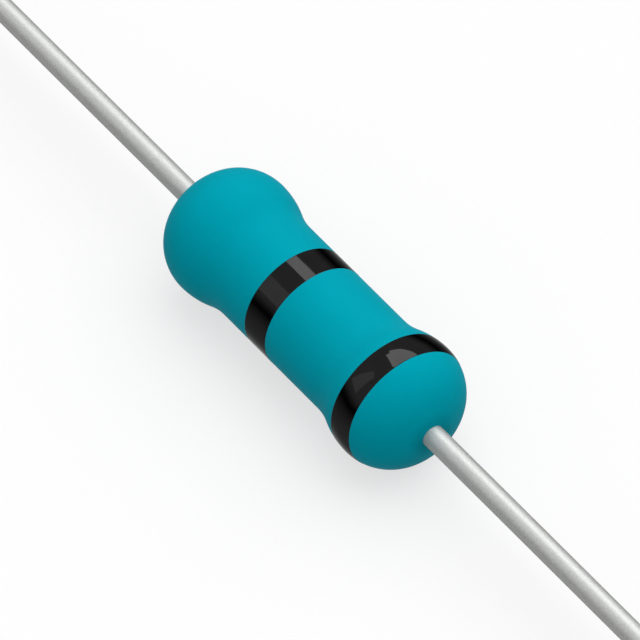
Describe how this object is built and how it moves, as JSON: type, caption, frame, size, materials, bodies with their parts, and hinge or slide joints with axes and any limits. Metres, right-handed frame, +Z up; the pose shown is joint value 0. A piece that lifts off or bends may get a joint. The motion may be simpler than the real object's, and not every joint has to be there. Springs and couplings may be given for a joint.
{
  "type": "axial resistor",
  "caption": "Small dog-bone film resistor for through-hole circuit boards, with a lacquered body, printed bands and straight wire leads along its axis.",
  "frame": {"origin": "on the axis, midway between the two lead tips, which is also the middle of the lacquered body", "axes": "+X along the leads towards the end whose bulge carries the end band; +Z up; the body is round about X"},
  "size_m": [0.065, 0.0032, 0.0032],
  "materials": {
    "rod_ceramic": "matte, off-white",
    "film_alloy": "dull metal film",
    "cap_steel": "plated, satin",
    "lead_tinned": "tinned, satin",
    "coat_lacquer": "satin teal lacquer",
    "band_ink": "glossy black"
  },
  "bodies": {
    "root": {"ceramic_rod": "rod_ceramic", "resistive_film": "film_alloy", "end_cap_left": "cap_steel", "end_cap_right": "cap_steel", "lead_left": "lead_tinned", "lead_right": "lead_tinned", "lacquer_coat": "coat_lacquer", "band_middle": "band_ink", "band_end": "band_ink"}
  },
  "joints": []
}
